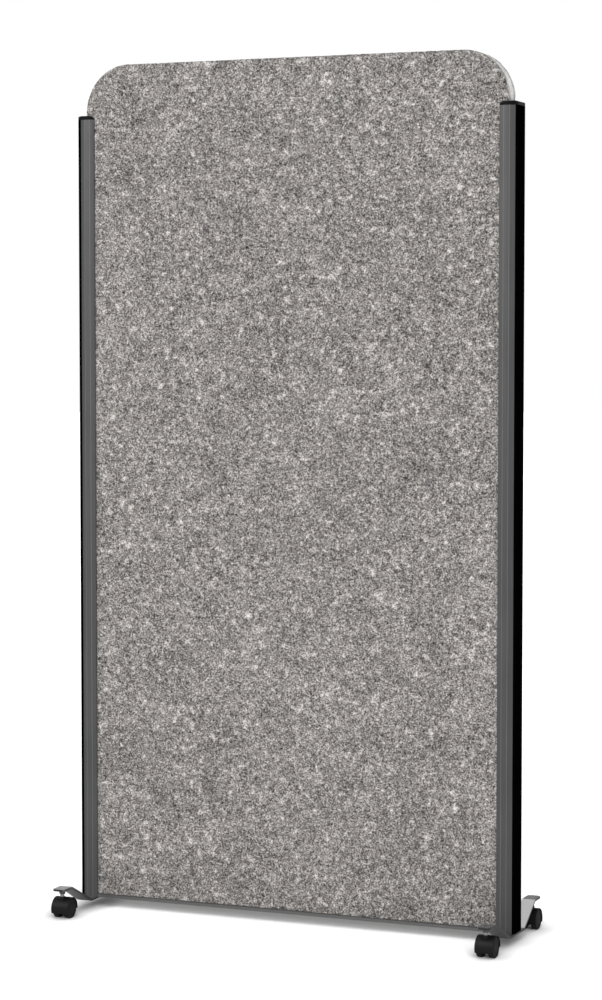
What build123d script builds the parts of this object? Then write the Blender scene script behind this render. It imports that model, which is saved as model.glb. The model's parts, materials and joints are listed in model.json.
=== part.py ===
from build123d import *
import os
from math import sin, cos, tan, atan2, radians, degrees, sqrt

os.makedirs("parts", exist_ok=True)

# Wheeled acoustic room divider, millimetres.
# +Z up, +X to the right along the panel's width, the front looks along -Y.
# The origin is on the floor, under the middle of the panel.

# ---- driving dimensions -------------------------------------------------
OVERALL_W = 1001.0        # across the outer faces of the two linking strips
OVERALL_H = 1838.5        # floor to the top of the felt

PANEL_W = 960.0           # felt and core, side edge to side edge
PANEL_Z0 = 29.5           # bottom edge of the felt, standing on the rail's web
PANEL_R = 100.0           # radius of the two top corners
FELT_T = 12.0             # each felt sheet
CORE_T = 20.0             # core board between the sheets
PANEL_HALF = FELT_T + CORE_T / 2      # 22 mm, panel face to middle

PROFILE_Z0 = 23.0         # lower end of the aluminium side profile
PROFILE_LEN = 1700.0
PROFILE_X_IN = 461.2      # inner edge of the lips that hold the felt
PROFILE_X_OUT = 494.3     # flat outer face under the linking strip
PROFILE_HALF_OUT = 22.3   # half depth at that outer face
SLOT_HALF = 22.05         # half width of the slot that takes the panel
SLOT_X = 481.0            # floor of the slot
CHAMBER_X0, CHAMBER_X1, CHAMBER_HALF = 483.0, 492.3, 20.2
PORT_X, PORT_Y, PORT_R = 488.0, 14.0, 2.55   # screw ports along the profile

STRIP_T = OVERALL_W / 2 - PROFILE_X_OUT      # linking strip, 6.2 mm thick

CAP_H = 8.9               # crown of the pillow-shaped cap
CAP_X_OUT = 500.3         # its outer side, flush with the strip's face

RAIL_Z0, RAIL_Z1 = 23.5, 31.6
RAIL_HALF = 24.4          # half depth over the rail's side walls
RAIL_X = 461.0            # end of the side walls
TONGUE_X, TONGUE_HALF = 480.8, 21.8
RAIL_SCREW_Y, RAIL_SCREW_Z, RAIL_SCREW_R = 5.0, 26.5, 2.0

FOOT_T = 4.5
FOOT_X0, FOOT_X1 = 464.8, 500.0    # across the lower bends
TAB_X0, TAB_X1 = 468.0, 496.6      # from the upper fold to the free end
TAPER_Y = 56.0            # where the arm starts to narrow
FOOT_BEND_Y = 45.0        # top face: lower bend
FOOT_FOLD_Y = 131.0       # top face: upper fold
FOOT_END_Y = 170.0        # free end of the tab
TAB_Z = 66.0              # top face of the tab
TAB_R = 7.0               # rounded free corners

CASTER_X = 482.0
STEM_Y = 150.5
AXLE_Y = 141.5            # the wheels trail 9 mm behind the stem
WHEEL_R = 21.0
WHEEL_X0, WHEEL_X1 = 7.1, 19.2    # inner and outer side of a wheel
AXLE_R, AXLE_HALF = 3.0, 17.2
RUN = 0.05                # running clearance, on the radius
HOOD_RI, HOOD_RO, HOOD_HALF = 22.5, 24.3, 20.0
HOOD_A0, HOOD_A1 = -22.0, 188.0   # leading lip, trailing lip
WEB_HALF = 3.0
BOSS_R, BOSS_TOP = 6.4, 47.4
SOCKET_Z = 16.0
STEM_R, COLLAR_R = 4.0, 4.5
NUT_AF, NUT_H, FLANGE_R = 13.0, 8.0, 8.9


def save(shape, name):
    shape.label = name
    export_step(shape, os.path.join("parts", name + ".step"))


def poly_face(pts):
    return make_face(Polyline(*pts, close=True))


def cyl(r, p, direction, h):
    """Plain cylinder from point p along direction."""
    return extrude(Plane(origin=p, z_dir=direction) * Circle(r), amount=h)


def block(x0, x1, y0, y1, z0, z1):
    return Pos((x0 + x1) / 2, (y0 + y1) / 2, (z0 + z1) / 2) * Box(x1 - x0, y1 - y0, z1 - z0)


def flip_x(s):
    return s.mirror(Plane.YZ)


def flip_y(s):
    return s.mirror(Plane.XZ)


# ---- panel ----------------------------------------------------------------
# Three sheets of one outline: square at the bottom, rounded at the top.
def sheet(y0, y1):
    h = OVERALL_H - PANEL_Z0
    w = PANEL_W / 2
    z1 = OVERALL_H
    r = PANEL_R
    k = r * (1 - cos(radians(45)))
    outline = Wire([
        Edge.make_line((-w, y0, PANEL_Z0), (w, y0, PANEL_Z0)),
        Edge.make_line((w, y0, PANEL_Z0), (w, y0, z1 - r)),
        Edge.make_three_point_arc((w, y0, z1 - r), (w - k, y0, z1 - k), (w - r, y0, z1)),
        Edge.make_line((w - r, y0, z1), (-w + r, y0, z1)),
        Edge.make_three_point_arc((-w + r, y0, z1), (-w + k, y0, z1 - k), (-w, y0, z1 - r)),
        Edge.make_line((-w, y0, z1 - r), (-w, y0, PANEL_Z0)),
    ])
    return extrude(Face(outline), amount=y1 - y0, dir=(0, 1, 0))


save(sheet(-PANEL_HALF, -CORE_T / 2), "front_felt")
save(sheet(-CORE_T / 2, CORE_T / 2), "core_board")
save(sheet(CORE_T / 2, PANEL_HALF), "back_felt")


# ---- side profile -----------------------------------------------------------
# Lens-shaped extrusion. Its front and back carry three shallow flutes each;
# the slot towards the panel holds the felt sandwich, the closed chamber
# behind it has two screw ports.
FLUTES = [(PROFILE_X_OUT, PROFILE_HALF_OUT), (483.4, 27.7), (471.0, 27.4), (PROFILE_X_IN, 25.2)]
FLUTE_RISE = 0.45
BEAD_R = 0.75             # slim bead along each meeting line of two flutes


def flute_edges(sign):
    """Front (sign -1) or back (+1) outline from the outer to the inner edge."""
    out = []
    for (xa, ya), (xb, yb) in zip(FLUTES, FLUTES[1:]):
        mx, my = (xa + xb) / 2, (ya + yb) / 2
        L = sqrt((xb - xa) ** 2 + (yb - ya) ** 2)
        nx, ny = (yb - ya) / L, (xa - xb) / L
        if ny < 0:
            nx, ny = -nx, -ny
        out.append(Edge.make_three_point_arc((xa, sign * ya, 0), (mx + nx * FLUTE_RISE, sign * (my + ny * FLUTE_RISE), 0), (xb, sign * yb, 0)))
    return out


def profile_outline(x_out):
    yo, yi = FLUTES[0][1], FLUTES[-1][1]
    e = []
    e += [Edge.make_line((x_out, -yo, 0), (x_out, yo, 0))]
    if x_out > PROFILE_X_OUT:
        e += [Edge.make_line((x_out, yo, 0), (PROFILE_X_OUT, yo, 0)), Edge.make_line((x_out, -yo, 0), (PROFILE_X_OUT, -yo, 0))]
    e += flute_edges(1) + flute_edges(-1)
    e += [Edge.make_line((PROFILE_X_IN, yi, 0), (PROFILE_X_IN, -yi, 0))]
    return Face(Wire(e))


def side_profile():
    s = extrude(Pos(0, 0, PROFILE_Z0) * profile_outline(PROFILE_X_OUT), amount=PROFILE_LEN, dir=(0, 0, 1))
    z0, z1 = PROFILE_Z0 - 1, PROFILE_Z0 + PROFILE_LEN + 1
    s -= block(PROFILE_X_IN - 1, SLOT_X, -SLOT_HALF, SLOT_HALF, z0, z1)
    chamber = block(CHAMBER_X0, CHAMBER_X1, -CHAMBER_HALF, CHAMBER_HALF, z0, z1)
    for sy in (-1, 1):
        chamber -= cyl(5.2, (PORT_X, sy * PORT_Y, z0), (0, 0, 1), z1 - z0)
    s -= chamber
    for bx, by in FLUTES[1:3]:
        for sy in (-1, 1):
            s += cyl(BEAD_R, (bx, sy * (by - 0.2), PROFILE_Z0), (0, 0, 1), PROFILE_LEN)
    for sy in (-1, 1):
        s -= cyl(PORT_R, (PORT_X, sy * PORT_Y, z0), (0, 0, 1), z1 - z0)
        # clearance hole in the slot floor and a notch to reach the rail screw
        s -= cyl(RAIL_SCREW_R + RUN, (SLOT_X - 1, sy * RAIL_SCREW_Y, RAIL_SCREW_Z), (1, 0, 0), 4)
        s -= block(CHAMBER_X1 - 0.5, PROFILE_X_OUT + 1, sy * RAIL_SCREW_Y - 3.6, sy * RAIL_SCREW_Y + 3.6, z0, 30.2)
    return s


prof = side_profile()
save(prof, "right_side_profile")
save(flip_x(prof), "left_side_profile")

# ---- linking strip on each outer face ------------------------------------------
strip = block(PROFILE_X_OUT, OVERALL_W / 2, -PROFILE_HALF_OUT, PROFILE_HALF_OUT, PROFILE_Z0, PROFILE_Z0 + PROFILE_LEN)
strip = chamfer(strip.edges().filter_by(Axis.Z).group_by(Axis.X)[-1], 0.25)
save(strip, "right_link_strip")
save(flip_x(strip), "left_link_strip")

# ---- domed cap on top of each profile -------------------------------------------
CAP_Z = PROFILE_Z0 + PROFILE_LEN


def top_cap():
    xo, xi = CAP_X_OUT, PROFILE_X_IN
    body = extrude(Pos(0, 0, CAP_Z) * profile_outline(xo), amount=CAP_H + 2, dir=(0, 0, 1))
    # pillow: steep at the outer side, nearly flat on top, rolled down at the inner side ...
    top = [(xo + 0.1, 5.6), (xo - 0.7, 6.9), (xo - 3.0, 7.9), (xo - 9.0, 8.6), (482.0, CAP_H), (474.0, 8.4), (468.0, 7.3), (464.0, 5.6), (xi - 0.1, 2.4)]
    e = [Edge.make_spline([Vector(x, -40, CAP_Z + z) for x, z in top])]
    e += [Edge.make_line((xi - 0.1, -40, CAP_Z + 2.4), (xi - 0.1, -40, CAP_Z - 1)),
          Edge.make_line((xi - 0.1, -40, CAP_Z - 1), (xo + 0.1, -40, CAP_Z - 1)),
          Edge.make_line((xo + 0.1, -40, CAP_Z - 1), (xo + 0.1, -40, CAP_Z + 5.6))]
    body &= extrude(Face(Wire(e)), amount=80, dir=(0, 1, 0))
    # ... with its front and back edges rounded over
    side = [(28.9, 5.3), (27.9, 6.8), (26.0, 8.0), (22.0, 8.8), (0.0, CAP_H + 0.4)]
    side += [(-y, z) for y, z in side[-2::-1]]
    e = [Edge.make_spline([Vector(xi - 5, y, CAP_Z + z) for y, z in side])]
    e += [Edge.make_line((xi - 5, -28.9, CAP_Z + 5.3), (xi - 5, -28.9, CAP_Z - 1)),
          Edge.make_line((xi - 5, -28.9, CAP_Z - 1), (xi - 5, 28.9, CAP_Z - 1)),
          Edge.make_line((xi - 5, 28.9, CAP_Z - 1), (xi - 5, 28.9, CAP_Z + 5.3))]
    body &= extrude(Face(Wire(e)), amount=60, dir=(1, 0, 0))
    body -= block(PROFILE_X_IN - 1, SLOT_X, -SLOT_HALF, SLOT_HALF, CAP_Z - 1, CAP_Z + 20)
    spigot = block(CHAMBER_X0 + 0.1, CHAMBER_X1 - 0.1, -7.6, 7.6, CAP_Z - 14, CAP_Z + 0.5)
    spigot -= block(CHAMBER_X0 + 1.8, CHAMBER_X1 - 1.8, -5.8, 5.8, CAP_Z - 15, CAP_Z - 1)
    return body + spigot


cap = top_cap()
save(cap, "right_top_cap")
save(flip_x(cap), "left_top_cap")


# ---- bottom rail ------------------------------------------------------------------
def bottom_rail():
    web = block(-RAIL_X, RAIL_X, -RAIL_HALF, RAIL_HALF, RAIL_Z0, RAIL_Z1)
    web -= block(-RAIL_X - 1, RAIL_X + 1, -SLOT_HALF, SLOT_HALF, PANEL_Z0, RAIL_Z1 + 1)
    web += block(-TONGUE_X, TONGUE_X, -TONGUE_HALF, TONGUE_HALF, RAIL_Z0, PANEL_Z0)
    for sy in (-1, 1):
        y0, y1 = sorted((sy * 9.5, sy * 20.0))
        web -= block(-TONGUE_X - 1, TONGUE_X + 1, y0, y1, RAIL_Z0 + 1.5, PANEL_Z0 - 1.5)
        web -= cyl(RAIL_SCREW_R + RUN, (-TONGUE_X - 1, sy * RAIL_SCREW_Y, RAIL_SCREW_Z), (1, 0, 0), 2 * TONGUE_X + 2)
    return web


save(bottom_rail(), "bottom_rail")


def group(solids):
    return Compound(children=solids)


# four pan-head screws, profile into rail
screws = []
for sx in (-1, 1):
    for sy in (-1, 1):
        x0 = sx * CHAMBER_X0
        shank = cyl(RAIL_SCREW_R, (x0, sy * RAIL_SCREW_Y, RAIL_SCREW_Z), (-sx, 0, 0), 20)
        head = cyl(3.3, (x0, sy * RAIL_SCREW_Y, RAIL_SCREW_Z), (sx, 0, 0), 2.6)
        drive = cyl(1.2, (x0 + sx * 3, sy * RAIL_SCREW_Y, RAIL_SCREW_Z), (-sx, 0, 0), 1.9)
        screws.append((shank + head - drive).solid())
save(group(screws), "rail_screws")


# ---- foot -----------------------------------------------------------------------------
# Flat strip bent into a shallow U with turned-out tabs, lying across the
# lower end of each profile.
def foot():
    z1 = PROFILE_Z0
    a = atan2(TAB_Z - z1, FOOT_FOLD_Y - FOOT_BEND_Y)
    d = FOOT_T * tan(a / 2)
    ri, ro = 3.0, 3.0 + FOOT_T
    top = [(FOOT_END_Y, TAB_Z), (FOOT_FOLD_Y, TAB_Z), (FOOT_BEND_Y, z1)]
    bot = [(FOOT_END_Y, TAB_Z - FOOT_T), (FOOT_FOLD_Y + d, TAB_Z - FOOT_T), (FOOT_BEND_Y + d, z1 - FOOT_T)]
    # full outline, back half then front half
    pts = [top[0], top[1], top[2]] + [(-y, z) for y, z in reversed(top)] + [(-y, z) for y, z in bot] + [(y, z) for y, z in reversed(bot)]
    radii = [0, ro, ri, ri, ro, 0, 0, ri, ro, ro, ri, 0]
    edges = []
    n = len(pts)
    cuts = []
    for i in range(n):
        p0, p1, p2 = pts[i - 1], pts[i], pts[(i + 1) % n]
        if radii[i] == 0:
            cuts.append((p1, None, p1))
            continue
        v0 = (p0[0] - p1[0], p0[1] - p1[1])
        v1 = (p2[0] - p1[0], p2[1] - p1[1])
        l0, l1 = sqrt(v0[0] ** 2 + v0[1] ** 2), sqrt(v1[0] ** 2 + v1[1] ** 2)
        u0, u1 = (v0[0] / l0, v0[1] / l0), (v1[0] / l1, v1[1] / l1)
        t = radii[i] * tan(a / 2)
        s, e = (p1[0] + u0[0] * t, p1[1] + u0[1] * t), (p1[0] + u1[0] * t, p1[1] + u1[1] * t)
        b = (u0[0] + u1[0], u0[1] + u1[1])
        lb = sqrt(b[0] ** 2 + b[1] ** 2)
        h = radii[i] / cos(a / 2) - radii[i]
        cuts.append((s, (p1[0] + b[0] / lb * h, p1[1] + b[1] / lb * h), e))
    x = FOOT_X0 - 1
    for i in range(n):
        s, m, e = cuts[i]
        if m is not None:
            edges.append(Edge.make_three_point_arc((x, *s), (x, *m), (x, *e)))
        nxt = cuts[(i + 1) % n][0]
        edges.append(Edge.make_line((x, *e), (x, *nxt)))
    body = extrude(Face(Wire(edges)), amount=FOOT_X1 - FOOT_X0 + 2, dir=(1, 0, 0))
    # plan of the blank: full width across the bends, narrower towards the tabs
    half = [(FOOT_X1, 0), (FOOT_X1, TAPER_Y), (TAB_X1, FOOT_FOLD_Y), (TAB_X1, FOOT_END_Y), (TAB_X0, FOOT_END_Y), (TAB_X0, FOOT_FOLD_Y), (FOOT_X0, TAPER_Y), (FOOT_X0, 0)]
    plan = half[1:7] + [(px, -py) for px, py in reversed(half[1:7])]
    blank = extrude(poly_face([(px, py, 0) for px, py in plan]), amount=TAB_Z + 10, dir=(0, 0, 1))
    body &= blank
    ends = [ed for ed in body.edges().filter_by(Axis.Z) if abs(abs(ed.center().Y) - FOOT_END_Y) < 0.01]
    body = fillet(ends, TAB_R)
    for sy in (-1, 1):
        body -= cyl(STEM_R + 0.02, (CASTER_X, sy * STEM_Y, TAB_Z - 10), (0, 0, 1), 20)
        body -= cyl(2.75, (PORT_X, sy * PORT_Y, z1 - 10), (0, 0, 1), 12)
    return body


ft = foot()
save(ft, "right_foot")
save(flip_x(ft), "left_foot")

# four button-head screws, foot into the profile's screw ports
screws = []
for sx in (-1, 1):
    for sy in (-1, 1):
        c = (sx * PORT_X, sy * PORT_Y)
        head = cyl(4.75, (*c, PROFILE_Z0 - FOOT_T - 2.75), (0, 0, 1), 2.75)
        head = fillet(head.edges().group_by(Axis.Z)[0], 1.6)
        shank = cyl(2.5, (*c, PROFILE_Z0 - FOOT_T - 0.5), (0, 0, 1), 28)
        drive = extrude(Pos(*c, PROFILE_Z0 - FOOT_T - 2.75) * RegularPolygon(1.7, 6), amount=1.6, dir=(0, 0, 1))
        screws.append((head + shank - drive).solid())
save(group(screws), "foot_screws")

# ---- casters ------------------------------------------------------------------------------
# Built once for the front right corner (leading towards -Y) and mirrored.
CX, CY = CASTER_X, -AXLE_Y
AZ = WHEEL_R


def at(ang, r):
    """Point around the axle; 0 is the leading direction, 90 is up."""
    return (CY - r * cos(radians(ang)), AZ + r * sin(radians(ang)))


def sector(ri, ro, a0, a1, x0, x1):
    am = (a0 + a1) / 2
    w = Wire([
        Edge.make_three_point_arc((x0, *at(a0, ro)), (x0, *at(am, ro)), (x0, *at(a1, ro))),
        Edge.make_line((x0, *at(a1, ro)), (x0, *at(a1, ri))),
        Edge.make_three_point_arc((x0, *at(a1, ri)), (x0, *at(am, ri)), (x0, *at(a0, ri))),
        Edge.make_line((x0, *at(a0, ri)), (x0, *at(a0, ro))),
    ])
    return extrude(Face(w), amount=x1 - x0, dir=(1, 0, 0))


def hood():
    shell = sector(HOOD_RI, HOOD_RO, HOOD_A0, HOOD_A1, CX - HOOD_HALF, CX + HOOD_HALF)
    rim = [e for e in shell.edges() if abs(abs(e.center().X - CX) - HOOD_HALF) < 0.01 and e.length > 20]
    outer = [e for e in rim if abs(e.length - 2 * 3.14159265 * HOOD_RO * (HOOD_A1 - HOOD_A0) / 360) < 0.5]
    try:
        shell = fillet(outer, 1.2)
    except Exception:
        pass
    web = cyl(HOOD_RI + 0.5, (CX - WEB_HALF, CY, AZ), (1, 0, 0), 2 * WEB_HALF)
    web &= block(CX - 10, CX + 10, CY - 40, CY + 40, AZ - 10.5, AZ + 40)
    body = shell + web
    body += cyl(BOSS_R, (CX, -STEM_Y, AZ - 10.5), (0, 0, 1), BOSS_TOP - AZ + 10.5)
    body += cyl(5.4, (CX - WHEEL_X0 + 0.3, CY, AZ), (1, 0, 0), 2 * (WHEEL_X0 - 0.3))
    # blind socket for the stem, its ring groove, and the axle bore
    body -= cyl(STEM_R + RUN, (CX, -STEM_Y, SOCKET_Z), (0, 0, 1), 60)
    body -= cyl(4.95, (CX, -STEM_Y, SOCKET_Z + 3.0), (0, 0, 1), 2.6)
    body -= cyl(AXLE_R, (CX - 30, CY, AZ), (1, 0, 0), 60)
    return body


def stem():
    s = cyl(STEM_R, (CX, -STEM_Y, SOCKET_Z + 0.6), (0, 0, 1), TAB_Z - SOCKET_Z - 0.6)
    s += cyl(COLLAR_R, (CX, -STEM_Y, BOSS_TOP + 0.1), (0, 0, 1), TAB_Z - FOOT_T - NUT_H - BOSS_TOP - 0.1)
    groove = cyl(STEM_R + 1, (CX, -STEM_Y, SOCKET_Z + 3.4), (0, 0, 1), 1.8) - cyl(3.3, (CX, -STEM_Y, SOCKET_Z + 3.0), (0, 0, 1), 3)
    s -= groove
    s = chamfer(s.edges().group_by(Axis.Z)[0], 0.6)
    return s


def ring():
    r = cyl(4.75, (CX, -STEM_Y, SOCKET_Z + 3.5), (0, 0, 1), 1.6)
    r -= cyl(3.35, (CX, -STEM_Y, SOCKET_Z + 3.0), (0, 0, 1), 4)
    r -= block(CX - 1.2, CX + 1.2, -STEM_Y, -STEM_Y + 8, SOCKET_Z + 3, SOCKET_Z + 7)
    return r


def nut():
    """Hexagon nut with a round flange that spreads under the tab."""
    z1 = TAB_Z - FOOT_T
    z0 = z1 - NUT_H
    n = extrude(Pos(CX, -STEM_Y, z0) * RegularPolygon(NUT_AF / 2, 6, major_radius=False), amount=NUT_H, dir=(0, 0, 1))
    n &= Pos(CX, -STEM_Y, z0) * Cone(6.1, 14.1, 8.0, align=(Align.CENTER, Align.CENTER, Align.MIN))
    f = poly_face([(CX, -STEM_Y, z1), (CX + FLANGE_R, -STEM_Y, z1), (CX + FLANGE_R, -STEM_Y, z1 - 1.2), (CX + 6.2, -STEM_Y, z1 - 4.6), (CX, -STEM_Y, z1 - 4.6)])
    n += revolve(f, Axis((CX, -STEM_Y, 0), (0, 0, 1)), 360)
    n -= cyl(STEM_R + 0.02, (CX, -STEM_Y, z0 - 1), (0, 0, 1), NUT_H + 2)
    return n


def wheel(side):
    """One wheel; side +1 is towards +X. A cup, closed on its outer side."""
    pts = [
        (WHEEL_X0, AXLE_R + RUN), (17.4, AXLE_R + RUN), (17.4, 0.0), (18.8, 0.0), (18.8, 12.0), (18.0, 13.0),
        (18.0, 16.2), (WHEEL_X1, 17.4), (WHEEL_X1, WHEEL_R), (WHEEL_X0, WHEEL_R), (WHEEL_X0, 17.2),
        (15.4, 17.2), (15.4, 5.4), (WHEEL_X0, 5.4),
    ]
    face = poly_face([(CX + side * x, CY, AZ + r) for x, r in pts])
    w = revolve(face, Axis((CX, CY, AZ), (1, 0, 0)), 360)
    rim = [e for e in w.edges().filter_by(GeomType.CIRCLE) if abs(e.radius - WHEEL_R) < 0.01]
    far = [e for e in rim if abs(e.center().X - (CX + side * WHEEL_X1)) < 0.01]
    near = [e for e in rim if abs(e.center().X - (CX + side * WHEEL_X0)) < 0.01]
    w = fillet(far, 2.4)
    near = [e for e in w.edges().filter_by(GeomType.CIRCLE) if abs(e.radius - WHEEL_R) < 0.01 and abs(e.center().X - (CX + side * WHEEL_X0)) < 0.01]
    w = fillet(near, 1.0)
    return w


axle = cyl(AXLE_R, (CX - AXLE_HALF, CY, AZ), (1, 0, 0), 2 * AXLE_HALF)
axle = chamfer(axle.edges().filter_by(GeomType.CIRCLE), 0.4)
pieces = {"hood": hood(), "stem": stem(), "retaining_ring": ring(), "axle": axle}
w_right, w_left = wheel(1), wheel(-1)

nuts = []
n0 = nut()
for fb, fy in (("front", False), ("back", True)):
    for lr, fx in (("right", False), ("left", True)):
        def place(s):
            if fy:
                s = flip_y(s)
            if fx:
                s = flip_x(s)
            return s
        pre = fb + "_" + lr + "_caster_"
        for k, s in pieces.items():
            save(place(s), pre + k)
        # the outer wheel is the one away from the panel's middle
        save(place(w_right), pre + "outer_wheel")
        save(place(w_left), pre + "inner_wheel")
        nuts.append(place(n0).solid())
save(group(nuts), "stem_lock_nuts")
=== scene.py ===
import json
import math
import bpy
import bmesh
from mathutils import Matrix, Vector, noise

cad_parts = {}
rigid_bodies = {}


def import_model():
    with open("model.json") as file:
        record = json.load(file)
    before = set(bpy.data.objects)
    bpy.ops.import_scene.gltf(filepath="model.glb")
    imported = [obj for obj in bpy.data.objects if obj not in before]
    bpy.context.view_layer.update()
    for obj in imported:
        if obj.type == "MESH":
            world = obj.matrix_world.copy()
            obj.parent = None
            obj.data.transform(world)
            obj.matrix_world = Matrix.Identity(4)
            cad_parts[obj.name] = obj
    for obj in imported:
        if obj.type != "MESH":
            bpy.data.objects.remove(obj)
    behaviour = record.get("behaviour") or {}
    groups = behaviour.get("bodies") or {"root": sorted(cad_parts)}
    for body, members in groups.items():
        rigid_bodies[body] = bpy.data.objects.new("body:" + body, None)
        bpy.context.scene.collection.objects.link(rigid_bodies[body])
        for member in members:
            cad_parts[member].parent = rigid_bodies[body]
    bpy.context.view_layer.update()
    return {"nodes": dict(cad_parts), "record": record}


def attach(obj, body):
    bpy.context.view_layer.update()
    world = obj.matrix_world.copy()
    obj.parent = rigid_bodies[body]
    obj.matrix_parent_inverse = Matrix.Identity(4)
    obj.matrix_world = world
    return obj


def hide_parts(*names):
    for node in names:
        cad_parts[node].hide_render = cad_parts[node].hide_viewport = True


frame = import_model()
nodes = frame["nodes"]
scene = bpy.context.scene

# ---- camera -----------------------------------------------------------------
# Solved from the photograph: a little to the right of the panel, at chest height.
cam_data = bpy.data.cameras.new("view_camera")
cam_data.sensor_width = 36.0
cam_data.lens = 95.573
cam_data.clip_start = 0.05
cam_data.clip_end = 200.0
cam = bpy.data.objects.new("view_camera", cam_data)
cam.location = (2.183396, -5.184939, 1.248952)
cam.rotation_euler = (math.pi / 2 - 0.0604922, 0.0, 0.39628394)
scene.collection.objects.link(cam)
scene.camera = cam
scene.view_settings.view_transform = "Standard"
scene.view_settings.look = "None"
scene.view_settings.exposure = 0.0
scene.view_settings.gamma = 1.0


# how bright the studio makes a white upright surface; the felt and plastics are toned for it
FELT_LIGHT = 1.355
DOME_LOW, DOME_HIGH, DOME_Z = 0.40, 0.95, 0.70
BACK_LOW, BACK_RIGHT, BACK_HIGH = 0.72, 0.36, 0.20
TOP_POWER = 16.0
KEY_POWER = 60.0
FILL_POWER = 6.0
SUN_POWER, SUN_ANGLE, SUN_ELEV, SUN_WAY = 7.6, 60.0, 22.0, (-0.40, 0.92, 0.0)
AO_REACH, AO_MID, AO_FEET, AO_FLOOR = 0.070, 0.04, 0.80, 0.50
FLOOR_GLOW = 0.40
FLOOR_MIRRORED = 0.35


# ---- node helpers -------------------------------------------------------------
class Mat:
    """A material with a Principled shader and short calls for its nodes."""

    def __init__(self, name):
        self.m = bpy.data.materials.new(name)
        self.m.use_nodes = True
        self.t = self.m.node_tree
        self.p = next(n for n in self.t.nodes if n.type == "BSDF_PRINCIPLED")
        self.out = next(n for n in self.t.nodes if n.type == "OUTPUT_MATERIAL")
        self._obj = None

    def set(self, **kw):
        for k, v in kw.items():
            self.p.inputs[k.replace("_", " ")].default_value = v
        return self

    def link(self, a, b):
        self.t.links.new(a, b)

    def obj(self):
        if self._obj is None:
            self._obj = self.t.nodes.new("ShaderNodeTexCoord").outputs["Object"]
        return self._obj

    def val(self, sock, v):
        if isinstance(v, (int, float)):
            sock.default_value = v
        elif isinstance(v, (tuple, list)):
            sock.default_value = v
        else:
            self.link(v, sock)

    def math(self, op, a, b=0.0, c=0.0, clamp=False):
        n = self.t.nodes.new("ShaderNodeMath")
        n.operation = op
        n.use_clamp = clamp
        for s, v in zip(n.inputs, (a, b, c)):
            self.val(s, v)
        return n.outputs[0]

    def vmath(self, op, a, b):
        n = self.t.nodes.new("ShaderNodeVectorMath")
        n.operation = op
        self.val(n.inputs[0], a)
        self.val(n.inputs[1], b)
        return n.outputs[0]

    def vscale(self, a, k):
        n = self.t.nodes.new("ShaderNodeVectorMath")
        n.operation = "SCALE"
        self.val(n.inputs[0], a)
        self.val(n.inputs["Scale"], k)
        return n.outputs[0]

    def mapping(self, v, rot=(0, 0, 0), scale=(1, 1, 1), loc=(0, 0, 0)):
        n = self.t.nodes.new("ShaderNodeMapping")
        self.link(v, n.inputs["Vector"])
        n.inputs["Location"].default_value = loc
        n.inputs["Rotation"].default_value = rot
        n.inputs["Scale"].default_value = scale
        return n.outputs[0]

    def noise(self, v, scale, detail=2.0, rough=0.5, distort=0.0, color=False):
        n = self.t.nodes.new("ShaderNodeTexNoise")
        n.noise_dimensions = "3D"
        self.link(v, n.inputs["Vector"])
        n.inputs["Scale"].default_value = scale
        n.inputs["Detail"].default_value = detail
        n.inputs["Roughness"].default_value = rough
        n.inputs["Distortion"].default_value = distort
        return n.outputs["Color" if color else "Fac"]

    def voronoi(self, v, scale, feature="F1", out="Distance", rand=1.0):
        n = self.t.nodes.new("ShaderNodeTexVoronoi")
        n.feature = feature
        self.link(v, n.inputs["Vector"])
        n.inputs["Scale"].default_value = scale
        n.inputs["Randomness"].default_value = rand
        return n.outputs[out]

    def ramp(self, fac, stops, interp="LINEAR"):
        n = self.t.nodes.new("ShaderNodeValToRGB")
        n.color_ramp.interpolation = interp
        e = n.color_ramp.elements
        while len(e) < len(stops):
            e.new(0.5)
        for el, (pos, c) in zip(e, stops):
            el.position = pos
            el.color = (c, c, c, 1) if isinstance(c, (int, float)) else (*c, 1)
        self.link(fac, n.inputs[0])
        return n.outputs["Color"]

    def mix(self, fac, a, b):
        n = self.t.nodes.new("ShaderNodeMix")
        n.data_type = "RGBA"
        self.val(n.inputs[0], fac)
        self.val(n.inputs[6], a)
        self.val(n.inputs[7], b)
        return n.outputs[2]

    def maprange(self, v, a, b, c, d):
        n = self.t.nodes.new("ShaderNodeMapRange")
        self.link(v, n.inputs[0])
        for i, x in enumerate((a, b, c, d)):
            n.inputs[i + 1].default_value = x
        return n.outputs[0]

    def axes(self, v):
        n = self.t.nodes.new("ShaderNodeSeparateXYZ")
        self.link(v, n.inputs[0])
        return n.outputs

    def combine(self, x, y, z):
        n = self.t.nodes.new("ShaderNodeCombineXYZ")
        for s, v in zip(n.inputs, (x, y, z)):
            self.val(s, v)
        return n.outputs[0]

    def bump(self, height, strength, distance):
        n = self.t.nodes.new("ShaderNodeBump")
        n.inputs["Strength"].default_value = strength
        n.inputs["Distance"].default_value = distance
        self.link(height, n.inputs["Height"])
        self.link(n.outputs[0], self.p.inputs["Normal"])
        return n

    def color(self, sock):
        self.link(sock, self.p.inputs["Base Color"])

    def rough(self, sock):
        self.link(sock, self.p.inputs["Roughness"])


# ---- felt ------------------------------------------------------------------------
def turned(m, v, i, a, b, shift=(1.3, 0.0, 2.1)):
    """The same coordinates moved and turned, so that no two layers of noise share a direction."""
    moved = m.vmath("ADD", v, tuple(i * c for c in shift))
    return m.mapping(moved, rot=(b, a, 0))


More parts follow.
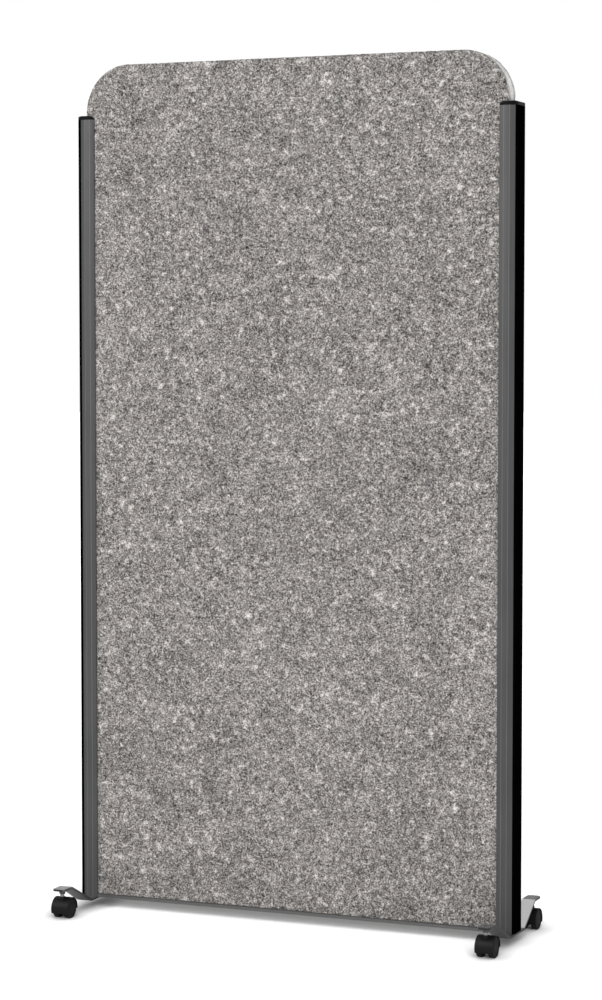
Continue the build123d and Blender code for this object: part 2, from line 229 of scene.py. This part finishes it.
def felt_value(m, v):
    """Mottled grey of pale and dark fibres needled together, about 0 on average: grain from 2 mm up to soft
    clouds of 80 mm, thin curled pale wisps 10 to 20 mm long in every direction, a few darker threads,
    soft pale tufts and small dark specks."""
    warp = m.noise(v, 60.0, 0.0, 0.5, color=True)
    w = m.vmath("ADD", v, m.vscale(m.vmath("SUBTRACT", warp, (0.5, 0.5, 0.5)), 0.02))
    total = None

    def add(x, k):
        nonlocal total
        t = m.math("MULTIPLY", x, k)
        total = t if total is None else m.math("ADD", total, t)

    def thread(i, scale, width, cut, soft, k, a, b):
        """Level lines of a noise, cut into short lengths by another."""
        n = m.noise(turned(m, w, i, a, b, (3.1, 1.3, 7.7)), scale, 0.0)
        line = m.math("SUBTRACT", 1.0, m.math("DIVIDE", m.math("ABSOLUTE", m.math("SUBTRACT", n, 0.5)), width), clamp=True)
        gate = m.noise(turned(m, v, i + 2.0, 1.9 + a, 0.3 + b, (4.6, 0.0, 2.2)), 80.0, 0.0)
        gate = m.math("DIVIDE", m.math("SUBTRACT", gate, cut), soft, clamp=True)
        add(m.math("MULTIPLY", line, gate), k)

    for i, (s, k) in enumerate(((9, 0.15), (20, 0.20), (44, 0.33), (95, 0.51), (190, 0.90), (330, 1.85))):
        add(m.math("SUBTRACT", m.noise(turned(m, v, i, 0.7 + 1.1 * i, 0.5 + 0.9 * i), float(s), 0.0), 0.5), k)
    thread(0.0, 60.0, 0.026, 0.545, 0.10, 0.42, 0.4, 0.6)
    thread(1.0, 85.0, 0.036, 0.545, 0.10, 0.42, 1.2, 1.9)
    thread(2.0, 120.0, 0.050, 0.550, 0.10, 0.36, 2.0, 3.2)
    thread(5.0, 80.0, 0.040, 0.550, 0.08, -0.20, 1.2, 0.8)
    tuft = m.noise(turned(m, v, 1.0, 0.5, 1.1, (1.7, 0.0, 8.2)), 70.0, 0.0)
    add(m.math("MAXIMUM", m.math("SUBTRACT", tuft, 0.60), 0.0), 2.0)
    cell = m.voronoi(v, 150.0)
    pick = m.axes(m.voronoi(v, 150.0, out="Color"))[0]
    speck = m.math("MULTIPLY", m.math("DIVIDE", m.math("SUBTRACT", 0.40, cell), 0.2, clamp=True), m.math("GREATER_THAN", pick, 0.80))
    add(speck, -0.34)
    return total


def grey_stops(levels, tint, gain=1.0):
    """Ramp stops: (position, how bright the lit cloth looks from 0 to 1), tinted, as linear colours."""
    out = []
    for p, d in levels:
        c = ((d + 0.055) / 1.055) ** 2.4 / gain if d > 0.04045 else d / 12.92 / gain
        out.append((p, tuple(min(1.0, c * t) for t in tint)))
    return out


WARM = (1.060, 1.0, 0.957)

felt = Mat("felt_melange")
fv = felt_value(felt, felt.obj())
felt.color(felt.ramp(felt.math("MULTIPLY_ADD", fv, 0.505, 0.5), grey_stops(
    [(0.00, 0.135), (0.20, 0.300), (0.35, 0.423), (0.50, 0.547), (0.65, 0.670), (0.80, 0.794), (1.00, 0.957)], WARM, FELT_LIGHT)))
felt.set(Roughness=0.95, Specular_IOR_Level=0.10, Sheen_Weight=0.08, Sheen_Roughness=0.6)
fine = felt.noise(felt.obj(), 1100.0, 2.0, 0.7)
felt.bump(felt.math("ADD", felt.math("MULTIPLY", fv, 0.5), felt.math("MULTIPLY", fine, 0.5)), 0.30, 0.0007)

# cut edge: pale fibre ends in thin layers parallel to the faces
edge = Mat("felt_cut_edge")
lay = edge.mapping(edge.obj(), scale=(110, 620, 110))
ev = edge.math("ADD", edge.math("MULTIPLY", edge.noise(lay, 1.0, 2.0, 0.7), 0.55), edge.math("MULTIPLY", edge.noise(edge.obj(), 300.0, 1.0, 0.8), 0.45))
edge.color(edge.ramp(ev, [(0.38, (0.20, 0.191, 0.184)), (0.46, (0.42, 0.402, 0.388)), (0.55, (0.60, 0.574, 0.555)), (0.64, (0.88, 0.843, 0.816))]))
edge.set(Roughness=0.95, Specular_IOR_Level=0.05, Sheen_Weight=0.08, Sheen_Roughness=0.6)
edge.bump(ev, 0.6, 0.0008)

core = Mat("core_board_fibre")
cv = core.math("ADD", core.math("MULTIPLY", core.noise(core.mapping(core.obj(), scale=(90, 420, 60)), 1.0, 2.0, 0.7), 0.60),
               core.math("MULTIPLY", core.noise(core.obj(), 260.0, 1.0, 0.8), 0.40))
core.color(core.ramp(cv, [(0.38, (0.50, 0.497, 0.492)), (0.46, (0.78, 0.777, 0.77)), (0.55, (0.90, 0.897, 0.89)), (0.64, (0.98, 0.978, 0.972))]))
core.set(Roughness=0.9, Specular_IOR_Level=0.05)
core.bump(cv, 0.5, 0.0006)

PANEL_W, PANEL_Z0, PANEL_Z1, PANEL_R = 0.960, 0.0295, 1.8385, 0.100


def outline(inset, step):
    """Columns of the panel's face: (x, top z, outward direction at the top)."""
    w, r, z1 = PANEL_W / 2 - inset, PANEL_R - inset, PANEL_Z1 - inset
    n = 30
    cols = []
    for i in range(n, 0, -1):
        a = math.radians(90.0 * i / n)
        cols.append((-(w - r) - r * math.sin(a), z1 - r + r * math.cos(a), (-math.sin(a), math.cos(a))))
    m = max(1, round(2 * (w - r) / step))
    for i in range(m + 1):
        cols.append((-(w - r) + 2 * (w - r) * i / m, z1, (0.0, 1.0)))
    for i in range(1, n + 1):
        a = math.radians(90.0 * i / n)
        cols.append(((w - r) + r * math.sin(a), z1 - r + r * math.cos(a), (math.sin(a), math.cos(a))))
    return cols


def free_face(x, z):
    """1 where the face is free, 0 where the side profile or the rail holds it."""
    s = min(1.0, max(0.0, (0.452 - abs(x)) / 0.03)) if z < 1.735 else min(1.0, max(0.0, (z - 1.735) / 0.02 + (0.452 - abs(x)) / 0.03))
    return s * min(1.0, max(0.0, (z - 0.036) / 0.03))


def sheet_mesh(name, y_face, y_back, step, round_r, relief, jitter, rim_slot, face_cap=False, seed=0.0):
    """Closed sheet with the panel's outline. The face at y_face is a fine grid with a soft relief; its edge is rounded, and its rim has the cut's unevenness."""
    s = 1.0 if y_back > y_face else -1.0      # into the sheet
    t = abs(y_back - y_face)
    cols = outline(round_r, step)
    z0 = PANEL_Z0 + round_r
    rows = round((PANEL_Z1 - PANEL_Z0) / step)
    bm = bmesh.new()
    grid = []
    for x, zt, _ in cols:
        col = []
        for j in range(rows + 1):
            z = z0 + (zt - z0) * j / rows
            p = Vector((x * 11.0 + seed, 3.7 + seed, z * 11.0))
            h = noise.noise(p) * 0.55 + noise.noise(p * 5.3) * 0.3 + noise.noise(p * 13.0) * 0.22
            d = relief * h * free_face(x, z)
            col.append(bm.verts.new((x, y_face - s * d, z)))
        grid.append(col)
    if not face_cap:
        for i in range(len(cols) - 1):
            for j in range(rows):
                f = (grid[i][j], grid[i + 1][j], grid[i + 1][j + 1], grid[i][j + 1])
                bm.faces.new(f if s > 0 else tuple(reversed(f))).material_index = 0
    # boundary loop, counter-clockwise seen from the front, with outward directions
    loop = []
    for i, c in enumerate(cols):
        d = (-1.0, -1.0) if i == 0 else (1.0, -1.0) if i == len(cols) - 1 else (0.0, -1.0)
        loop.append((grid[i][0], d))
    loop += [(v, (1.0, 0.0)) for v in grid[-1][1:-1]]
    loop += [(grid[i][-1], cols[i][2]) for i in range(len(cols) - 1, -1, -1)]
    loop += [(v, (-1.0, 0.0)) for v in reversed(grid[0][1:-1])]
    rings = []
    k = 3
    prof = [(round_r * math.sin(math.radians(90 * q / k)), round_r * (1 - math.cos(math.radians(90 * q / k)))) for q in range(1, k + 1)]
    mids = 4
    prof += [(round_r, round_r + (t - 2 * round_r) * q / mids) for q in range(1, mids + 1)]
    prof += [(round_r * math.cos(math.radians(90 * q / k)), t - round_r + round_r * math.sin(math.radians(90 * q / k))) for q in range(1, k + 1)]
    for e, d in prof:
        ring = []
        for v, (ox, oz) in loop:
            free = free_face(v.co.x * 0.9, v.co.z) if v.co.z > 1.735 else 0.0
            p = Vector((v.co.x * 140 + seed, d * 420, v.co.z * 140))
            jit = jitter * noise.noise(p) * (e / round_r) * free
            ring.append(bm.verts.new((v.co.x + ox * (e + jit), y_face + s * d, v.co.z + oz * (e + jit))))
        rings.append(ring)
    prev = [v for v, _ in loop]
    n = len(prev)
    for ri, ring in enumerate(rings):
        for i in range(n):
            f = (prev[i], ring[i], ring[(i + 1) % n], prev[(i + 1) % n])
            face = bm.faces.new(tuple(reversed(f)) if s < 0 else f)
            face.material_index = rim_slot if ri >= k - 1 else 0
        prev = ring
    cap = bm.faces.new(prev if s < 0 else list(reversed(prev)))
    cap.material_index = 0
    if face_cap:
        for col in grid:
            for v in col:
                if not v.link_faces and not v.link_edges:
                    bm.verts.remove(v)
        cap2 = bm.faces.new([v for v, _ in loop] if s > 0 else [v for v, _ in reversed(loop)])
        cap2.material_index = 0
    bm.normal_update()
    me = bpy.data.meshes.new(name)
    bm.to_mesh(me)
    bm.free()
    for p in me.polygons:
        p.use_smooth = True
    ob = bpy.data.objects.new(name, me)
    scene.collection.objects.link(ob)
    return ob


front = sheet_mesh("front_felt_sheet", -0.022, -0.0101, 0.006, 0.0016, 0.0006, 0.0010, 1, seed=0.0)
back = sheet_mesh("back_felt_sheet", 0.022, 0.0101, 0.006, 0.0016, 0.0006, 0.0010, 1, seed=40.0)
board = sheet_mesh("core_board_sheet", -0.0099, 0.0099, 0.010, 0.0008, 0.0, 0.0003, 0, face_cap=True, seed=80.0)
for ob, node in ((front, "front_felt"), (back, "back_felt"), (board, "core_board")):
    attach(ob, "frame")
    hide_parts(node)
for ob in (front, back):
    ob.data.materials.append(felt.m)
    ob.data.materials.append(edge.m)
board.data.materials.append(core.m)

# ---- metals and plastics ----------------------------------------------------------
def brushed(m, v, scale, direction):
    """Fine streaks along one axis, for extruded or brushed metal."""
    k = {"x": (0.02, 1, 1), "y": (1, 0.02, 1), "z": (1, 1, 0.004)}[direction]
    return m.noise(m.mapping(v, scale=k), scale, 3.0, 0.6)


profile = Mat("profile_grey_anodised")
px = profile.axes(profile.obj())[0]
ax = profile.math("ABSOLUTE", px)
# painted highlight: the two beads on each profile face take a lighter copy of the tone, standing in for the light they
# catch
bead_highlight_mask = profile.math("MAXIMUM",
                    profile.math("LESS_THAN", profile.math("ABSOLUTE", profile.math("SUBTRACT", ax, 0.4834)), 0.00085),
                    profile.math("LESS_THAN", profile.math("ABSOLUTE", profile.math("SUBTRACT", ax, 0.4710)), 0.00085))
st = brushed(profile, profile.obj(), 1400.0, "z")
blot = profile.noise(profile.obj(), 9.0, 2.0)
pv = profile.math("ADD", profile.math("MULTIPLY", st, 0.6), profile.math("MULTIPLY", blot, 0.4))
tone = profile.ramp(pv, [(0.30, (0.116, 0.116, 0.117)), (0.70, (0.150, 0.150, 0.151))])
bright = profile.ramp(pv, [(0.30, (0.210, 0.210, 0.211)), (0.70, (0.260, 0.260, 0.261))])
profile.color(profile.mix(bead_highlight_mask, tone, bright))
profile.rough(profile.maprange(st, 0.3, 0.7, 0.40, 0.52))
profile.set(Metallic=0.75)
profile.bump(st, 0.08, 0.0002)

rail = Mat("rail_grey_anodised")
st = brushed(rail, rail.obj(), 1400.0, "x")
tone = rail.ramp(st, [(0.30, (0.185, 0.184, 0.184)), (0.70, (0.240, 0.239, 0.239))])
# painted shadow: the rail's top band above z 30 mm, where the felt sits, takes this darker copy of the tone
shade = rail.ramp(st, [(0.30, (0.105, 0.103, 0.100)), (0.70, (0.140, 0.137, 0.133))])
rz = rail.axes(rail.obj())[2]
rail.color(rail.mix(rail.math("GREATER_THAN", rz, 0.0300), tone, shade))
rail.rough(rail.maprange(st, 0.3, 0.7, 0.38, 0.50))
rail.set(Metallic=0.75)
rail.bump(st, 0.08, 0.0002)

strip = Mat("link_strip_black")
sv = strip.noise(strip.mapping(strip.obj(), scale=(1, 1, 0.35)), 700.0, 3.0, 0.7)
strip.color(strip.ramp(sv, [(0.30, 0.0002), (0.70, 0.0012)]))
strip.set(Roughness=0.9, Specular_IOR_Level=0.0)

cap = Mat("cap_black_plastic")
gv = cap.noise(cap.obj(), 1600.0, 2.0, 0.6)
cap.color(cap.ramp(gv, [(0.30, 0.003), (0.70, 0.007)]))
cap.rough(cap.maprange(gv, 0.3, 0.7, 0.34, 0.46))
cap.set(Specular_IOR_Level=0.12)
cap.bump(gv, 0.15, 0.0002)

caster = Mat("caster_black_plastic")
gv = caster.noise(caster.obj(), 1500.0, 2.0, 0.6)
wear = caster.noise(caster.obj(), 60.0, 3.0, 0.6)
caster.color(caster.ramp(gv, [(0.30, (0.0062, 0.0058, 0.0062)), (0.70, (0.0124, 0.0116, 0.0122))]))
caster.rough(caster.maprange(wear, 0.3, 0.7, 0.34, 0.50))
caster.set(Specular_IOR_Level=0.22)
caster.bump(gv, 0.2, 0.0002)

wheel = Mat("wheel_black_plastic")
gv = wheel.noise(wheel.obj(), 1300.0, 2.0, 0.6)
wear = wheel.noise(wheel.obj(), 120.0, 3.0, 0.6)
wheel.color(wheel.ramp(wear, [(0.30, (0.0064, 0.0058, 0.0062)), (0.75, (0.0185, 0.0172, 0.0180))]))
wheel.rough(wheel.maprange(wear, 0.3, 0.7, 0.42, 0.62))
wheel.set(Specular_IOR_Level=0.22)
wheel.bump(gv, 0.25, 0.0003)

foot = Mat("foot_satin_steel")
st = brushed(foot, foot.obj(), 1200.0, "y")
tone = foot.ramp(st, [(0.30, (0.37, 0.367, 0.366)), (0.70, (0.44, 0.437, 0.436))])
# painted light: faces turned down take this lighter copy of the tone
downward_painted_light = foot.ramp(st, [(0.30, (0.40, 0.394, 0.396)), (0.70, (0.50, 0.493, 0.495))])
# painted shade: the cut edges take darker copies of the tone, the outer edges darkest
outer_edge_painted_shade = foot.ramp(foot.noise(foot.obj(), 700.0, 2.0, 0.6), [(0.30, (0.085, 0.083, 0.083)), (0.70, (0.13, 0.127, 0.127))])
inward_edge_painted_shade = foot.ramp(foot.noise(foot.obj(), 700.0, 2.0, 0.6), [(0.30, (0.25, 0.246, 0.247)), (0.70, (0.34, 0.335, 0.336))])
facing = foot.axes(foot.t.nodes.new("ShaderNodeTexCoord").outputs["Normal"])
up = facing[2]
inward = foot.math("LESS_THAN", foot.math("MULTIPLY", foot.math("SIGN", foot.axes(foot.obj())[0]), facing[0]), -0.5)
# faces turned down: painted light
face = foot.mix(foot.math("LESS_THAN", up, -0.35), tone, downward_painted_light)
# cut edges: painted shade, darkest on the outer edges
cut = foot.mix(inward, outer_edge_painted_shade, inward_edge_painted_shade)
foot.color(foot.mix(foot.math("LESS_THAN", foot.math("ABSOLUTE", up), 0.35), face, cut))
foot.rough(foot.maprange(st, 0.3, 0.7, 0.26, 0.36))
foot.set(Metallic=1.0)
foot.bump(st, 0.05, 0.0002)

screw = Mat("screw_steel")
sc = screw.noise(screw.obj(), 900.0, 2.0)
screw.color(screw.ramp(sc, [(0.3, 0.45), (0.7, 0.58)]))
screw.rough(screw.maprange(sc, 0.3, 0.7, 0.25, 0.4))
screw.set(Metallic=1.0)

chrome = Mat("stem_chrome")
sc = chrome.noise(chrome.obj(), 500.0, 2.0)
chrome.color(chrome.ramp(sc, [(0.3, (0.50, 0.50, 0.505)), (0.7, (0.60, 0.60, 0.605))]))
chrome.rough(chrome.maprange(sc, 0.3, 0.7, 0.10, 0.18))
chrome.set(Metallic=1.0)

nut = Mat("nut_dark_steel")
sc = nut.noise(nut.obj(), 800.0, 2.0)
nut.color(nut.ramp(sc, [(0.3, (0.16, 0.16, 0.162)), (0.7, (0.24, 0.24, 0.242))]))
nut.rough(nut.maprange(sc, 0.3, 0.7, 0.30, 0.42))
nut.set(Metallic=1.0)

by_slot = {"profile": profile, "strip": strip, "cap": cap, "foot": foot, "screw": screw, "chrome": chrome, "caster": caster, "wheel": wheel}
slots = {s["node"]: s["material_slot"] for s in frame["record"]["subparts"]}
for n, o in nodes.items():
    m = by_slot.get(slots[n])
    if n == "bottom_rail":
        m = rail
    if n == "stem_lock_nuts":
        m = nut
    if m is not None:
        for s in o.material_slots:
            s.material = m.m

# ---- floor, world, lights -------------------------------------------------------------
bpy.ops.mesh.primitive_circle_add(vertices=96, radius=40.0, fill_type="NGON", location=(0, 0, 0))
floor = bpy.context.object
floor.name = "studio_floor"
fm = Mat("floor_white")
ao = fm.t.nodes.new("ShaderNodeAmbientOcclusion")
ao.samples = 12
ao.inputs["Distance"].default_value = AO_REACH
grain = fm.maprange(fm.noise(fm.obj(), 3.0, 3.0, 0.6), 0.3, 0.7, 0.795, 0.825)
# painted contact shade: an occlusion node darkens the floor's colour, strongly between the casters and beneath the
# feet, slightly beneath the rail
beside = fm.maprange(fm.math("ABSOLUTE", fm.axes(fm.obj())[0]), 0.42, 0.455, 0.0, 1.0)
share = fm.math("MULTIPLY_ADD", beside, AO_FEET - AO_MID, AO_MID)
painted_contact_shade = fm.math("MAXIMUM", AO_FLOOR, fm.math("SUBTRACT", 1.0, fm.math("MULTIPLY", fm.math("SUBTRACT", 1.0, ao.outputs["AO"]), share)))
tone = fm.math("MULTIPLY", painted_contact_shade, grain)
# the studio floor is grey in the metal parts that mirror it, and white to the eye
mirrored = fm.t.nodes.new("ShaderNodeLightPath").outputs["Is Glossy Ray"]
tone = fm.math("MULTIPLY", tone, fm.math("SUBTRACT", 1.0, fm.math("MULTIPLY", mirrored, 1.0 - FLOOR_MIRRORED)))
fm.color(fm.combine(tone, tone, tone))
# away from the object the table glows a little, so that it stays white
fa = fm.axes(fm.obj())
fx = fm.math("MAXIMUM", fm.math("SUBTRACT", fm.math("ABSOLUTE", fa[0]), 0.52), 0.0)
fy = fm.math("MAXIMUM", fm.math("SUBTRACT", fm.math("ABSOLUTE", fa[1]), 0.19), 0.0)
away = fm.math("SQRT", fm.math("ADD", fm.math("MULTIPLY", fx, fx), fm.math("MULTIPLY", fy, fy)))
glow = fm.math("MULTIPLY", fm.maprange(away, 0.0, 0.16, 0.0, FLOOR_GLOW), fm.math("SUBTRACT", 1.0, mirrored))
fm.link(glow, fm.p.inputs["Emission Strength"])
fm.set(Roughness=1.0, Specular_IOR_Level=0.0, Emission_Color=(1.0, 1.0, 1.0, 1.0))
floor.data.materials.append(fm.m)

# White background, and light from a dome that is brighter overhead in front, and darker overhead behind.
world = bpy.data.worlds.new("studio")
scene.world = world
world.use_nodes = True
wt = world.node_tree
bg = wt.nodes["Background"]
bg.inputs[0].default_value = (1, 1, 1, 1)
wg = wt.nodes.new("ShaderNodeTexCoord")
wz = wt.nodes.new("ShaderNodeSeparateXYZ")
wt.links.new(wg.outputs["Generated"], wz.inputs[0])
wr = wt.nodes.new("ShaderNodeMapRange")
wt.links.new(wz.outputs[2], wr.inputs[0])
for i, x in enumerate((0.0, DOME_Z, DOME_LOW, DOME_HIGH)):
    wr.inputs[i + 1].default_value = x
ws = wt.nodes.new("ShaderNodeMapRange")      # the low back wall is light on the left and darker on the right
wt.links.new(wz.outputs[0], ws.inputs[0])
for i, x in enumerate((-0.44, -0.34, BACK_LOW, BACK_RIGHT)):
    ws.inputs[i + 1].default_value = x
wb = wt.nodes.new("ShaderNodeMapRange")
wt.links.new(wz.outputs[2], wb.inputs[0])
for i, x in enumerate((0.28, 0.48, BACK_LOW, BACK_HIGH)):
    wb.inputs[i + 1].default_value = x
wt.links.new(ws.outputs[0], wb.inputs[3])
wy = wt.nodes.new("ShaderNodeMapRange")
wt.links.new(wz.outputs[1], wy.inputs[0])
for i, x in enumerate((-0.3, 0.3, 0.0, 1.0)):
    wy.inputs[i + 1].default_value = x
wx = wt.nodes.new("ShaderNodeMix")
wx.data_type = "FLOAT"
wt.links.new(wy.outputs[0], wx.inputs[0])
wt.links.new(wr.outputs[0], wx.inputs[2])
wt.links.new(wb.outputs[0], wx.inputs[3])
wp = wt.nodes.new("ShaderNodeLightPath")
wm = wt.nodes.new("ShaderNodeMix")
wm.data_type = "FLOAT"
wt.links.new(wp.outputs["Is Camera Ray"], wm.inputs[0])
wt.links.new(wx.outputs[0], wm.inputs[2])
wm.inputs[3].default_value = 1.0
wt.links.new(wm.outputs[0], bg.inputs[1])

# A wide soft lamp from the front that lights the floor only; the whole object shades it.
lit = bpy.data.collections.new("lit_by_floor_lamp")
lit.objects.link(floor)
own = bpy.data.collections.new("lit_by_softboxes")
for o in scene.objects:
    if o.type == "MESH" and o is not floor:
        own.objects.link(o)
sun_data = bpy.data.lights.new("floor_lamp", "SUN")
sun_data.energy = SUN_POWER
sun_data.angle = math.radians(SUN_ANGLE)
sun = bpy.data.objects.new("floor_lamp", sun_data)
el = math.radians(SUN_ELEV)
h = Vector(SUN_WAY).normalized() * math.cos(el)
sun.rotation_euler = Vector((h.x, h.y, -math.sin(el))).to_track_quat("-Z", "Y").to_euler()
sun.location = (-1.5, -3.0, 2.0)
scene.collection.objects.link(sun)
sun.light_linking.receiver_collection = lit


def area(name, loc, target, size, power, col=(1, 1, 1)):
    d = bpy.data.lights.new(name, "AREA")
    d.shape = "RECTANGLE"
    d.size, d.size_y = size
    d.energy = power
    d.color = col
    o = bpy.data.objects.new(name, d)
    o.location = loc
    o.rotation_euler = (Vector(target) - Vector(loc)).to_track_quat("-Z", "Y").to_euler()
    scene.collection.objects.link(o)
    o.visible_camera = False
    return o


for lamp in (area("key_softbox", (-2.6, -4.4, 3.6), (0, 0, 0.9), (2.4, 2.4), KEY_POWER),
             area("top_softbox", (-1.1, 1.7, 3.5), (0.45, 0.1, 0.05), (2.0, 2.0), TOP_POWER),
             area("fill_softbox", (2.2, 4.6, 3.2), (0, 0, 0.9), (2.4, 2.4), FILL_POWER)):
    lamp.light_linking.receiver_collection = own
